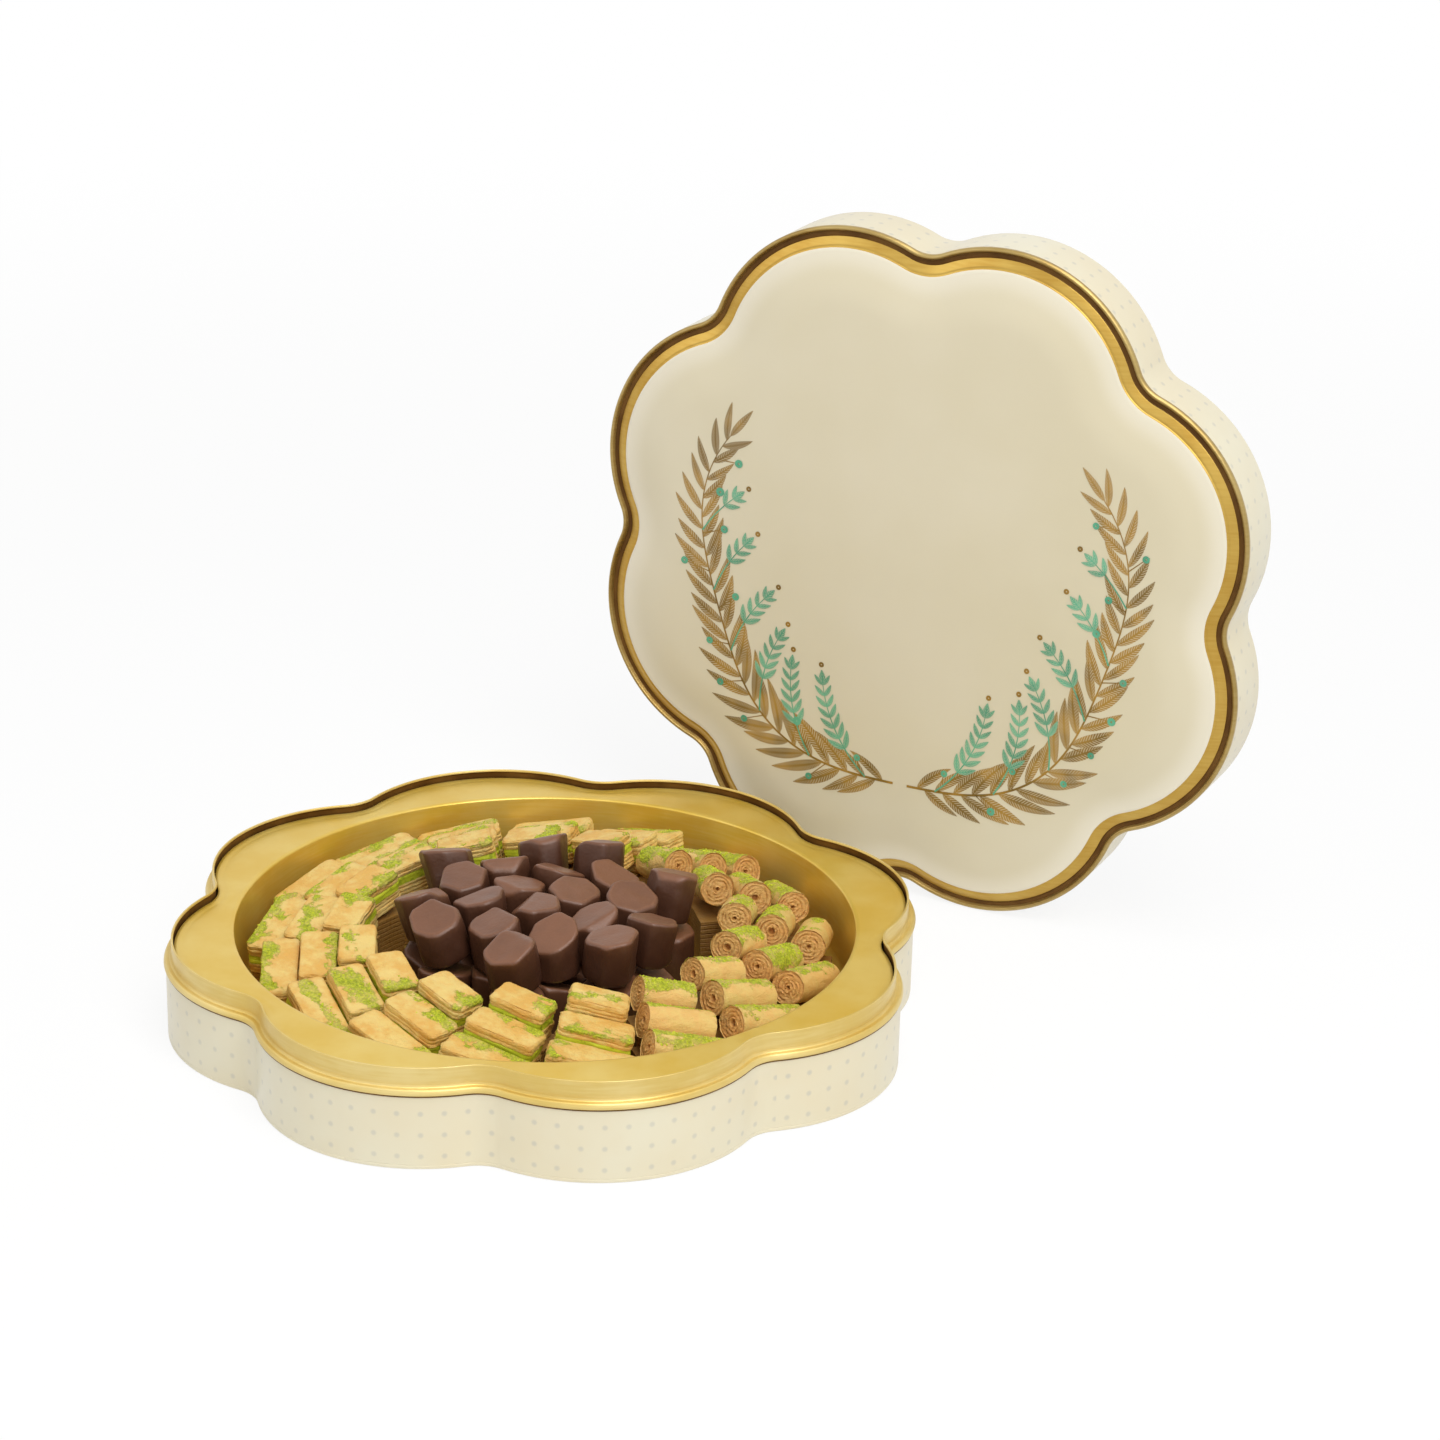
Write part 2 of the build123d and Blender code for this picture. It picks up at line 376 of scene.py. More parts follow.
def outlinePoints(inset, turn):
    # points round the outline drawn in by inset, with the length run along the full outline
    shape = outlineShape
    points = []
    run = 0.0
    for lobe in range(shape["lobes"]):
        angle = radians(turn) + 2 * halfLobe * lobe
        arcs = (
            (polar(lobeRing, angle), lobeR, -inset, angle - touch, 2 * touch, shape["lobeSteps"]),
            (polar(cuspRing, angle + halfLobe), cuspR, inset, angle + pi + touch,
             2 * (halfLobe - touch), shape["cuspSteps"]),
        )
        for middle, radius, grow, start, sweep, steps in arcs:
            for step in range(steps):
                points.append((*polar(radius + grow, start + sweep * step / steps, *middle), run))
                run += radius * abs(sweep) / steps
    return points, run


def outlineRing(mesh, inset, up, turn):
    return [mesh.verts.new((x, y, up)) for x, y, run in outlinePoints(inset, turn)[0]]


def bridge(mesh, rings, tints=None):
    # faces from each ring to the next
    faces = []
    for first, second, tint in zip(rings, rings[1:], tints or [0] * len(rings)):
        for step in range(len(first)):
            after = (step + 1) % len(first)
            faces.append(mesh.faces.new((first[step], first[after], second[after], second[step])))
            faces[-1].material_index = tint
    return faces


def meshData(mesh, matrix=Matrix()):
    bmesh.ops.recalc_face_normals(mesh, faces=mesh.faces)
    mesh.transform(matrix)
    data = bpy.data.meshes.new("mesh")
    mesh.to_mesh(data)
    mesh.free()
    return data


def rounded(corners, steps=4, closed=True):
    # a section with its corners rounded: corners are (across, up, material index, radius)
    result = []
    count = len(corners)
    for index, (across, up, tint, size) in enumerate(corners):
        here = Vector((across, up))
        if not closed and index in (0, count - 1):
            result.append((*here, tint))
            continue
        before = Vector(corners[index - 1][:2]) - here
        after = Vector(corners[(index + 1) % count][:2]) - here
        angle = before.angle(after)
        trim = min(size / max(tan(angle / 2), 0.05), before.length * 0.45, after.length * 0.45)
        start = here + before.normalized() * trim
        end = here + after.normalized() * trim
        for step in range(steps + 1):
            t = step / steps
            point = start * (1 - t) ** 2 + here * 2 * t * (1 - t) + end * t ** 2
            result.append((*point, tint))
    return result


def sweepSection(section, turn, matrix=Matrix()):
    # runs a closed section (inset, up, material index) round the outline, uv is run and height
    mesh = bmesh.new()
    uvLayer = mesh.loops.layers.uv.new("UVMap")
    rings = [outlineRing(mesh, across, up, turn) for across, up, tint in section]
    points, total = outlinePoints(0, turn)
    runs = [run for x, y, run in points] + [total]
    faces = bridge(mesh, rings + rings[:1], [tint for across, up, tint in section])
    for index, face in enumerate(faces):
        ring, step = divmod(index, len(points))
        low, high = section[ring][1], section[(ring + 1) % len(section)][1]
        corners = ((step, low), (step + 1, low), (step + 1, high), (step, high))
        for loop, (place, height) in zip(face.loops, corners):
            loop[uvLayer].uv = (runs[place], height)
    return meshData(mesh, matrix)


# Base: printed wall, bottom end, gold neck and insert

base = {
    "sheet": 0.3 * mm,
    "shoulder": 29.4 * mm,
    "rim": 40.3 * mm,
    "foot": 1.2 * mm,
    "seamW": 1.8 * mm,
    "seamH": 3.2 * mm,
    "neckInset": 2.2 * mm,
    "neckDepth": 8 * mm,
    "beadOut": 0.9 * mm,
    "beadH": 3.2 * mm,
    "rimH": 1.6 * mm,
    "rimIn": 0.6 * mm,
    "seamCrease": 0.16 * mm,  # depth of the fine line above the seam
}
insert = {
    "sheet": 0.8 * mm,
    "ledge": 36.9 * mm,
    "edge": 3.4 * mm,
    "edgeDrop": 0.8 * mm,
    # rounded edge and shallow groove of the ledge, as inwards from its edge and down
    "groove": ((0, 0.25), (0.35, 0.03), (1.4, 0), (2.6, 0.18), (3.8, 0.2), (5.2, 0)),
    "wellR": 122.96 * mm,
    "taper": 2 * mm,
    "step": 4 * mm,
    "lip": 2.6 * mm,
    "floorRing": 14 * mm,  # in from the foot of the well
}


def makeBase():
    turn = outlineShape["baseTurn"]
    b = base
    sheet, shoulder, rim = b["sheet"], b["shoulder"], b["rim"]
    seamW, seamH, beadOut, beadH = b["seamW"], b["seamH"], b["beadOut"], b["beadH"]
    wall = rounded([
        (0, shoulder, 0, 0.25 * mm),
        (0, seamH * 0.55, 0, 0.4 * mm),
        (b["seamCrease"], seamH * 0.48, 0, 0.1 * mm),
        (0, seamH * 0.40, 0, 0.1 * mm),
        (0, 0, 0, b["foot"]),
        (seamW, 0, 1, 0.3 * mm),
        (seamW, seamH, 1, 0.1 * mm),
        (sheet, seamH, 1, 0.05 * mm),
        (sheet, shoulder, 1, 0.1 * mm),
    ])
    mesh = sweepSection(wall, turn)
    addPiece("baseWall", mesh, [printedTin, insideTin], "base", ["base_wall"], "printed_tin", 50)

    mesh = bmesh.new()
    plate = [outlineRing(mesh, seamW, up, turn) for up in (seamH - sheet, seamH)]
    for ring in plate:
        mesh.faces.new(ring)
    bridge(mesh, plate)
    addPiece("baseBottom", meshData(mesh), [insideTin], "base", ["base_bottom"], "plain_tin", 40)

    inset = b["neckInset"]
    # material 1 is the painted shade brown: under the bead and inside the rolled rim
    neck = rounded([
        (inset, shoulder - b["neckDepth"], 0, 0.05 * mm),
        (inset, shoulder + 0.05 * mm, 0, 0.1 * mm),
        (-beadOut * 0.4, shoulder + 0.05 * mm, 1, 0.3 * mm),
        (-beadOut, shoulder + beadH * 0.42, 0, 1.3 * mm),
        (-beadOut * 0.2, shoulder + beadH, 0, 0.9 * mm),
        (inset * 0.82, shoulder + beadH * 0.9, 0, 0.7 * mm),
        (inset, shoulder + beadH * 1.25, 0, 0.9 * mm),
        (inset, rim, 0, 0.9 * mm),
        (inset + sheet + b["rimIn"] * 0.7, rim, 0, 0.6 * mm),
        (inset + sheet + b["rimIn"], rim - b["rimH"] * 0.62, 1, 0.4 * mm),
        (inset + sheet, rim - b["rimH"], 1, 0.1 * mm),
        (inset + sheet, shoulder - b["neckDepth"], 0, 0.05 * mm),
    ], 5)
    mesh = sweepSection(neck, turn)
    addPiece("baseNeck", mesh, [neckGold, paintedChannelShade], "base", ["base_neck"], "gold_tin", 60)


def makeInsert():
    t = insert
    wellR, ledge, sheet = t["wellR"], t["ledge"], t["sheet"]
    turn = outlineShape["baseTurn"]
    angles = [atan2(y, x) for x, y, run in outlinePoints(t["edge"], turn)[0]]
    mesh = bmesh.new()

    def circleRing(radius, up):
        return [mesh.verts.new((*polar(radius, angle), up)) for angle in angles]

    low = wellR - t["taper"]
    floor = base["seamH"]
    floorTop = floor + sheet
    top = rounded([
        (wellR + 4.5 * mm, ledge - 0.12 * mm, 0, 3 * mm),
        (wellR + 1.2 * mm, ledge, 0, 1.5 * mm),
        (wellR - 0.4 * mm, ledge - 0.3 * mm, 0, t["lip"]),
        (low, floorTop + t["step"], 0, 3 * mm),
        (low - t["step"], floorTop, 0, 3 * mm),
        (low - t["floorRing"], floorTop, 0, 1 * mm),
    ], 6, closed=False)
    rings = [outlineRing(mesh, t["edge"], ledge - t["edgeDrop"], turn)]
    for across, drop in t["groove"]:
        rings.append(outlineRing(mesh, t["edge"] + across * mm, ledge - drop * mm, turn))
    rings += [circleRing(radius, up) for radius, up, tint in top]
    rings.append(circleRing(low / 2, floorTop))
    mesh.faces.new(rings[-1])
    bridge(mesh, rings)
    # underside
    below = [outlineRing(mesh, t["edge"], ledge - sheet, turn)]
    below += [circleRing(radius, up) for radius, up in (
        (wellR + sheet, ledge - sheet),
        (low + sheet, floor + t["step"]),
        (low - t["step"], floor),
        (low - t["floorRing"], floor),
    )]
    mesh.faces.new(below[-1])
    bridge(mesh, below)
    bridge(mesh, [rings[0], below[0]])
    addPiece("insert", meshData(mesh), [insertGold], "insert", ["tray"], "gold_insert", 45)


makeBase()
makeInsert()
print("base and insert made")


# Lid: printed wall, gold edge, soft dome and its ornament

lid = {
    "aside": 79 * mm,
    "middleUp": 143.49 * mm,
    "back": 194.1 * mm,
    "height": 27 * mm,
    "hem": 2.2 * mm,
    "sheet": 0.3 * mm,
    "beadW": 2.4 * mm,
    "beadH": 2.2 * mm,
    "channelW": 1.5 * mm,
    "channelD": 1.8 * mm,
    "slopeW": 4.8 * mm,
    "slopeRise": 2.4 * mm,
    "domeW": 24 * mm,
    "domeRise": 3.6 * mm,
    "domeFoot": 0.15 * mm,  # the dome starts this far over the slope
    "domeCurve": 1.25,
    "domeSteps": 16,
}
channelIn = lid["beadW"] + lid["channelW"]
channelZ = lid["height"] - lid["channelD"]
slopeIn = channelIn + lid["slopeW"]
slopeZ = channelZ + lid["slopeRise"]
lidPlace = Matrix.Translation((lid["aside"], lid["back"], lid["middleUp"]))
lidMatrix = lidPlace @ Matrix.Rotation(pi / 2, 4, "X")
lidTurn = 180 / outlineShape["lobes"]


def domeHeight(share):
    # from 0 at the slope to 1 where the panel is flat
    rise = sin(share * pi / 2) ** lid["domeCurve"]
    return slopeZ + lid["domeFoot"] + (lid["domeRise"] - lid["domeFoot"]) * rise


def panelFinish():
    # cream print, with a painted highlight: paler on the shoulder of the dome
    look = Finish("creamPanel")
    cloud = look.noise(9, 3)
    grain = look.noise(1400, 2)
    tone = look.mix(cloud.between(0.3, 0.75) * 0.35, tinLook["panel"], tinLook["panelPale"])
    faceAt = lid["back"] - slopeZ - lid["domeRise"]
    # painted highlight: where the dome falls towards its edge, the cream is mixed towards the pale tone
    shoulder = ((look.axis(look.place(), "Y") - faceAt) / lid["domeRise"]).between(0.38, 1.0)
    return look.surface({
        "Base Color": look.mix(shoulder * 0.75, tone, tinLook["panelPale"]),
        "Roughness": 0.36 + grain * 0.08,
        "Coat Weight": 0.35,
        "Coat Roughness": 0.3,
        "Normal": look.bump(grain, 0.03, 0.08 * mm),
    })


creamPanel = panelFinish()


def makeLid():
    c = lid
    sheet = c["sheet"]
    wallTop = c["height"] - c["beadH"]
    wall = rounded([
        (0, 0, 0, 0.3 * mm),
        (0, wallTop, 0, 0.05 * mm),
        (sheet, wallTop, 1, 0.05 * mm),
        (sheet, c["hem"], 1, 0.05 * mm),
        (3 * sheet, c["hem"], 1, 0.2 * mm),
        (3 * sheet, 0, 1, 0.3 * mm),
    ])
    mesh = sweepSection(wall, lidTurn, lidMatrix)
    addPiece("lidWall", mesh, [printedTin, insideTin], "lid", ["lid_wall"], "printed_tin", 50)

    top = rounded([
        (0.05 * mm, wallTop + 0.02 * mm, 0, 0.1 * mm),
        (0.0, c["height"] - 1.0 * mm, 0, 0.6 * mm),
        (0.7 * mm, c["height"], 0, 0.9 * mm),
        (1.6 * mm, c["height"] - 0.15 * mm, 0, 0.6 * mm),
        # material 1 is the painted shade brown, in the channel
        (c["beadW"], channelZ + 0.1 * mm, 1, 0.3 * mm),
        (channelIn, channelZ, 1, 0.3 * mm),
        (channelIn + 0.5 * mm, channelZ + 0.6 * mm, 2, 0.4 * mm),
        (slopeIn - 1.3 * mm, slopeZ - 0.35 * mm, 2, 1.2 * mm),
        (slopeIn - 0.5 * mm, slopeZ - 0.3 * mm, 2, 0.4 * mm),
        (slopeIn, slopeZ + c["domeFoot"], 3, 0.3 * mm),
    ], 4, closed=False)
    # soft shoulder of the dome
    for step in range(1, c["domeSteps"] + 1):
        share = step / c["domeSteps"]
        top.append((slopeIn + c["domeW"] * share, domeHeight(share), 3))
    # the sheet's other side, and the bead's hollow
    under = [(across, up - sheet) for across, up, tint in reversed(top) if across > channelIn]
    under += [(c["beadW"] / 2, channelZ - sheet), (c["beadW"] / 2, wallTop)]

    mesh = bmesh.new()
    rings = [outlineRing(mesh, across, up, lidTurn) for across, up, tint in top]
    inner = outlinePoints(slopeIn + c["domeW"], lidTurn)[0]
    for scale in (0.85, 0.7, 0.5, 0.25):
        rings.append([mesh.verts.new((x * scale, y * scale, top[-1][1])) for x, y, run in inner])
    bridge(mesh, rings, [tint for across, up, tint in top] + [3] * 4)
    mesh.faces.new(rings[-1]).material_index = 3
    below = [outlineRing(mesh, across, up, lidTurn) for across, up in under]
    bridge(mesh, below, [4] * len(below))
    mesh.faces.new(below[0]).material_index = 4
    bridge(mesh, [rings[0], below[-1]], [4])
    materials = [edgeGold, paintedChannelShade, slopeGold, creamPanel, insideTin]
    addPiece("lidPanel", meshData(mesh, lidMatrix), materials, "lid", ["lid_panel"], "printed_lid", 60)


makeLid()

ornament = {
    "branchR": 95 * mm,
    "swing": 3.2 * mm,  # how far a branch goes in and out
    "low": -88,  # degrees, both ends of the right-hand branch
    "high": 30,
    "leafPitch": 8.4 * mm,
    "leaf": 27 * mm,
    "leafW": 5.4 * mm,
    "leafLevels": 7,  # leaves lie in these levels, stems and berries over them
    "stemW": 1.1 * mm,
    "berryR": 1.8 * mm,
    "sprigs": (-80, -64, -47, -30, -13, 3),  # where small sprigs leave the branch
    "sprigLong": 44 * mm,
    "sprigLess": 4.5 * mm,  # each sprig is this much shorter than the one below
    "sprigCurl": 4.5,  # degrees at each leaf
    "sprigPitch": 4.6 * mm,
    "sprigLeaf": 9.5 * mm,
    "sprigLeafW": 2.7 * mm,
    "hatch": 1.35 * mm,
    "lift": 0.04 * mm,  # of the lowest print over the panel
    "liftStep": 0.012 * mm,
    # inks, as dark and pale
    "brown": ((0.19, 0.105, 0.012), (0.38, 0.205, 0.024)),
    "teal": ((0.06, 0.29, 0.17), (0.12, 0.44, 0.26)),
}


def inkFinish(ink):
    # printed strokes with the cream of the panel between them
    look = Finish(ink + "Ink")
    uv = look.place("UV")
    across = look.axis(uv, "Y").math("ABSOLUTE")
    grain = look.noise(900, 3)
    line = (look.axis(uv, "X") / ornament["hatch"] - across * 1.7 + grain * 0.4).math("FRACT")
    gap = (line - 0.5).math("ABSOLUTE").between(0.22, 0.36) * across.between(0.1, 0.26)
    worn = look.noise(260, 4).between(0.55, 0.75)
    bare = (gap * 0.5 + worn * 0.1).math("MINIMUM", 1.0)
    tone = look.mix(look.noise(70, 2).between(0.35, 0.65), *ornament[ink])
    return look.surface({
        "Base Color": look.mix(bare, tone, tinLook["panel"]),
        "Roughness": 0.4 + grain * 0.1,
        "Coat Weight": 0.3,
        "Coat Roughness": 0.3,
        "Normal": look.bump(grain, 0.03, 0.08 * mm),
    })


def panelHeight(x, y):
    # height of the panel's face over a point of it
    angle = (atan2(y, x) - radians(lidTurn) + halfLobe) % (2 * halfLobe) - halfLobe
    px, py = polar(hypot(x, y), abs(angle))
    if atan2(py, px - lobeRing) < touch:
        inset = lobeR - hypot(px - lobeRing, py)
    else:
        inset = hypot(px - cuspX, py - cuspY) - cuspR
    return domeHeight(clamped((inset - slopeIn) / lid["domeW"]))


def bearing(here, there):
    return atan2(there[1] - here[1], there[0] - here[0])


def crossRow(x, y, angle, half, along, spots, rim):
    # points (x, y, u, v) on a line across a stroke
    return [(*polar(half * spot, angle + pi / 2, x, y), along, spot * rim) for spot in spots]


class Print:
    # flat printed shapes that lie on the panel in thin levels, no two that cross at one level
    def __init__(self):
        self.mesh = bmesh.new()
        self.uv = self.mesh.loops.layers.uv.new("UVMap")
        self.leaves = 0
        self.leafLevels = ornament["leafLevels"]

    def strip(self, rows, ink, level):
        lift = ornament["lift"] + ornament["liftStep"] * (level + (self.leafLevels + 2) * ink)
        uvs = {}
        grid = []
        for row in rows:
            grid.append([self.mesh.verts.new((x, y, panelHeight(x, y) + lift)) for x, y, u, v in row])
            uvs.update(zip(grid[-1], [point[2:] for point in row]))
        for first, second in zip(grid, grid[1:]):
            for step in range(len(first) - 1):
                face = self.mesh.faces.new((first[step + 1], first[step], second[step], second[step + 1]))
                face.material_index = ink
                for loop in face.loops:
                    loop[self.uv].uv = uvs[loop.vert]

    def leaf(self, x, y, angle, length, width, bend, ink):
        rows = []
        for step in range(13):
            t = step / 12
            now = angle + bend * t
            half = width / 2 * sin(pi * t ** 0.8) ** 0.85 + 0.12 * mm
            rows.append(crossRow(x, y, now, half, t * length, (-1, -0.5, 0, 0.5, 1), 1))
            x, y = polar(length / 12, now, x, y)
        self.leaves += 1
        self.strip(rows, ink, self.leaves % self.leafLevels)

    def stem(self, points, width, ink):
        rows = []
        for index, (x, y) in enumerate(points):
            ahead = points[min(index + 1, len(points) - 1)]
            behind = points[max(index - 1, 0)]
            angle = bearing(behind, ahead)
            half = width / 2 * (1 - 0.65 * index / len(points))
            rows.append(crossRow(x, y, angle, half, index * mm, (-1, 1), 0.1))
        self.strip(rows, ink, self.leafLevels)

    def berry(self, x, y, radius, ink):
        rows = []
        for angle in around(16) + [0]:
            rows.append([(*polar(radius * share, angle, x, y), 0.2 * mm, 0.1) for share in (1, 0.22)])
        self.strip(rows, ink, self.leafLevels + 1)


def makeOrnament():
    rng = random.Random(41)
    o = ornament
    art = Print()
    for side in (1, -1):
        def at(degrees, away=0.0):
            # a point on the branch, which swings gently in and out
            x, y = polar(o["branchR"] + o["swing"] * sin(radians(degrees * 5)) + away, radians(degrees))
            return side * x, y

        def heading(degrees):
            return bearing(at(degrees), at(degrees + 1))

        run = o["high"] - o["low"]
        art.stem([at(o["low"] + run * step / 60) for step in range(61)], o["stemW"], 0)
        turnStep = 180 / pi * o["leafPitch"] / o["branchR"]
        count = int(run / turnStep)
        for index in range(count):
            degrees = o["low"] + 4 + turnStep * index
            share = index / count
            size = 1.0 - 0.42 * share if share > 0.15 else 0.72 + share * 1.9  # small at both ends
            for out in (1, -1):
                spread = radians(rng.uniform(34, 48)) * out * side
                x, y = at(degrees + out * turnStep * 0.2)
                long = o["leaf"] * size * rng.uniform(0.88, 1.06)
                wide = o["leafW"] * size * rng.uniform(0.9, 1.1)
                art.leaf(x, y, heading(degrees) - spread, long, wide, spread * 0.45, 0)
            if index % 2:
                x, y = at(degrees + turnStep * 0.5, rng.choice((-1, 1)) * rng.uniform(7, 11) * mm)
                art.stem([at(degrees), (x, y)], 0.5 * mm, 0)
                art.berry(x, y, o["berryR"] * rng.uniform(0.8, 1.1), 1)
        art.leaf(*at(o["high"]), heading(o["high"]), o["leaf"] * 0.6, o["leafW"] * 0.6, 0, 0)
        # small sprigs that curl towards the middle
        for number, degrees in enumerate(o["sprigs"]):
            x, y = at(degrees)
            now = heading(degrees) + side * radians(40)
            long = o["sprigLong"] - o["sprigLess"] * number
            steps = int(long / o["sprigPitch"])
            points = [(x, y)]
            for step in range(steps):
                x, y = polar(long / steps, now, x, y)
                now += side * radians(o["sprigCurl"])
                points.append((x, y))
                if step < 2:
                    continue
                size = 1 - 0.45 * step / steps
                for out in (1, -1):
                    turn = now + out * radians(46)
                    art.leaf(x, y, turn, o["sprigLeaf"] * size, o["sprigLeafW"] * size, -out * 0.3, 1)
            art.leaf(x, y, now, 0.7 * o["sprigLeaf"], o["sprigLeafW"], 0, 1)
            art.stem(points, 0.7 * mm, 1)
            art.berry(*polar(9 * mm, now, x, y), 1.2 * mm, 0)
    art.mesh.transform(lidMatrix)
    data = bpy.data.meshes.new("lidPrint")
    art.mesh.to_mesh(data)
    art.mesh.free()
    addPiece("lidPrint", data, [inkFinish("brown"), inkFinish("teal")], "lid", (), "printed_lid", 1)


makeOrnament()
print("lid and its print made")


# Sweets: a detailed piece stands for every solid of the rows and the heap

def solidsOf(name):
    # every closed solid of a CAD node, as a matrix at its middle (across, along, up) and its size
    mesh = bmesh.new()
    mesh.from_mesh(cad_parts[name].data)
    bmesh.ops.remove_doubles(mesh, verts=mesh.verts, dist=0.002 * mm)
    seen = set()
    solids = []
    for first in mesh.verts:
        if first in seen:
            continue
        points = []
        stack = [first]
        while stack:
            vert = stack.pop()
            if vert not in seen:
                seen.add(vert)
                points.append(vert.co.copy())
                stack += [edge.other_vert(vert) for edge in vert.link_edges]
        solids.append(boxOf(points))
    mesh.free()
    return solids


def boxOf(points):
    cloud = np.array(points)
    middle = cloud.mean(axis=0)
    turn = np.linalg.eigh(np.cov((cloud - middle).T))[1]
    along = Vector(turn[:, 2])
    if along.z < 0:
        along.negate()
    if along.z > 0.8:  # stands on end
        across = Vector((0, 1, 0)).cross(along).normalized()
    else:
        across = along.cross(Vector((0, 0, 1))).normalized()
    up = across.cross(along)
    axes = np.array([across, along, up])
    reach = (cloud - middle) @ axes.T
    low, high = reach.min(axis=0), reach.max(axis=0)
    matrix = Matrix((across, along, up)).transposed().to_4x4()
    matrix.translation = Vector(middle + ((low + high) / 2) @ axes)
    return matrix, tuple(high - low)


class Crumbs:
    # mesh data of many small parts that become one piece
    def __init__(self):
        self.points = []
        self.faces = []
        self.tints = []

    def add(self, matrix, points, faces, tints):
        # points are (place, shade, how much nut lies there)
        start = len(self.points)
        self.points += [(tuple(matrix @ Vector(place)), shade, nut) for place, shade, nut in points]
        self.faces += [tuple(start + index for index in face) for face in faces]
        self.tints += tints

    def mesh(self):
        verts, shades, nuts = zip(*self.points)
        mesh = bpy.data.meshes.new("mesh")
        mesh.from_pydata(verts, [], self.faces)
        mesh.polygons.foreach_set("material_index", self.tints)
        for name, values in (("shade", shades), ("nut", nuts)):
            mesh.attributes.new(name, "FLOAT", "POINT").data.foreach_set("value", values)
        mesh.update()
        return mesh


def tubeFaces(rings, count, flip=False):
    # faces of a tube of rings, both ends closed
    faces = []
    for start in range(0, (rings - 1) * count, count):
        for step in range(count):
            here, after = start + step, start + (step + 1) % count
            face = (here, after, after + count, here + count)
            faces.append(face[::-1] if flip else face)
    first = tuple(range(count))
    last = tuple(range((rings - 1) * count, rings * count))
    return faces + ([first, last[::-1]] if flip else [last, first[::-1]])


def wave(x, y, z, scale, seed):
    return noise.noise(Vector((x * scale + seed, y * scale - seed * 0.7, z * scale + seed * 1.3)))


def addChunk(parts, place, normal, rng, tint):
    # one crumb of ground pistachio, lying on a surface
    size = rng.uniform(*pastry["crumb"])
    verts = []
    for x, y, z in ((1, 0, 0), (-1, 0, 0), (0, 1, 0), (0, -1, 0), (0, 0, 1), (0, 0, -1)):
        stretch = size * rng.uniform(0.6, 1.2)
        shift = Vector((rng.uniform(-1, 1), rng.uniform(-1, 1), 0)) * size * 0.25
        verts.append(Vector((x, y, z * 0.8)) * stretch + shift)
    faces = [(0, 2, 4), (2, 1, 4), (1, 3, 4), (3, 0, 4), (2, 0, 5), (1, 2, 5), (3, 1, 5), (0, 3, 5)]
    matrix = normal.to_track_quat("Z", "Y").to_matrix().to_4x4()
    matrix = matrix @ Matrix.Rotation(rng.uniform(0, 6.28), 4, "Z")
    matrix.translation = place
    shade = rng.random()
    parts.add(matrix, [(vert, shade, 0.0) for vert in verts], faces, [tint] * len(faces))


pastry = {
    "crust": (0.76, 0.44, 0.10),
    "crustPale": (0.82, 0.61, 0.20),
    "crustBrown": (0.60, 0.27, 0.04),
    "sheets": 8,
    "sheetDepth": 0.4 * mm,
    "edgeR": 2.6 * mm,
    "wobble": 0.5 * mm,
    "nutWobble": 0.7 * mm,
    "rollCrust": (0.84, 0.53, 0.17),
    "rollEnd": (0.86, 0.46, 0.13),
    # brown of the roll ends, and their painted shade between the windings
    "rollGroove": (0.36, 0.13, 0.022),
    "rollPitch": 1.5 * mm,
    "green": (0.42, 0.49, 0.005),
    "greenDark": (0.25, 0.31, 0.003),
    "greenPale": (0.62, 0.66, 0.03),
    "lowerSheet": 1.9 * mm,
    "lowerShade": (0.20, 0.08, 0.012),
    "slabNuts": 260,  # crumbs tried for on one slab
    "rollNuts": 420,
    "crumb": (0.25 * mm, 0.65 * mm),
}


def crustFinish(name, tones, grooveShade):
    # baked crust with painted shade in its grooves, brown spots, and green where nut dust lies
    look = Finish(name)
    pale, mid, brown = (pastry[tone] for tone in tones)
    cloud = look.noise(95, 4)
    spot = look.noise(420, 3)
    oven = look.noise(21, 2)  # some pieces are baked darker
    toast = (cloud * 0.55 + spot * 0.2 + oven * 0.25).between(0.41, 0.6)
    # painted shade: brown where the shade attribute is low, in grooves and hollows; the spots are
    # browning
    dark = (1 - look.attribute("shade")) * grooveShade + spot.between(0.62, 0.8) * 0.25
    tone = look.mix(dark.math("MINIMUM", 1.0), look.mix(toast, pale, mid), brown)
    dust = look.noise(900, 4, 0.7)
    covered = look.attribute("nut") + (spot - 0.5) * 0.9 + (dust - 0.5) * 0.8
    covered = covered.between(0.42, 0.62)
    green = look.mix(dust.between(0.35, 0.7), pastry["greenDark"], pastry["greenPale"])
    green = look.mix(look.noise(160, 2).between(0.4, 0.65) * 0.4, green, pale)
    flake = look.noise(700, 4, 0.65, (1, 1, 2.4))
    return look.surface({
        "Base Color": look.mix(covered * 0.94, tone, green),
        "Roughness": 0.42 + cloud * 0.2 + covered * 0.15,
        "Subsurface Weight": 0.06,
        "Subsurface Radius": (0.004, 0.002, 0.0008),
        "Subsurface Scale": 0.4,
        "Specular IOR Level": 0.35,
        "Coat Weight": 0.08,
        "Coat Roughness": 0.3,
        "Normal": look.bump(flake + cloud * 1.2 + covered * dust * 1.4, 0.7, 0.8 * mm),
    })


def nutFinish():
    # ground pistachio, each crumb of its own shade
    look = Finish("groundPistachio")
    cloud = look.noise(260, 3)
    tone = look.mix(look.attribute("shade"), pastry["green"], pastry["greenPale"])
    return look.surface({
        "Base Color": look.mix(cloud.between(0.5, 0.75), tone, pastry["greenDark"]),
        "Roughness": 0.55 + cloud * 0.2,
        "Subsurface Weight": 0.1,
        "Subsurface Radius": (0.002, 0.002, 0.0004),
        "Subsurface Scale": 0.4,
        "Normal": look.bump(look.noise(1500, 3), 0.5, 0.25 * mm),
    })


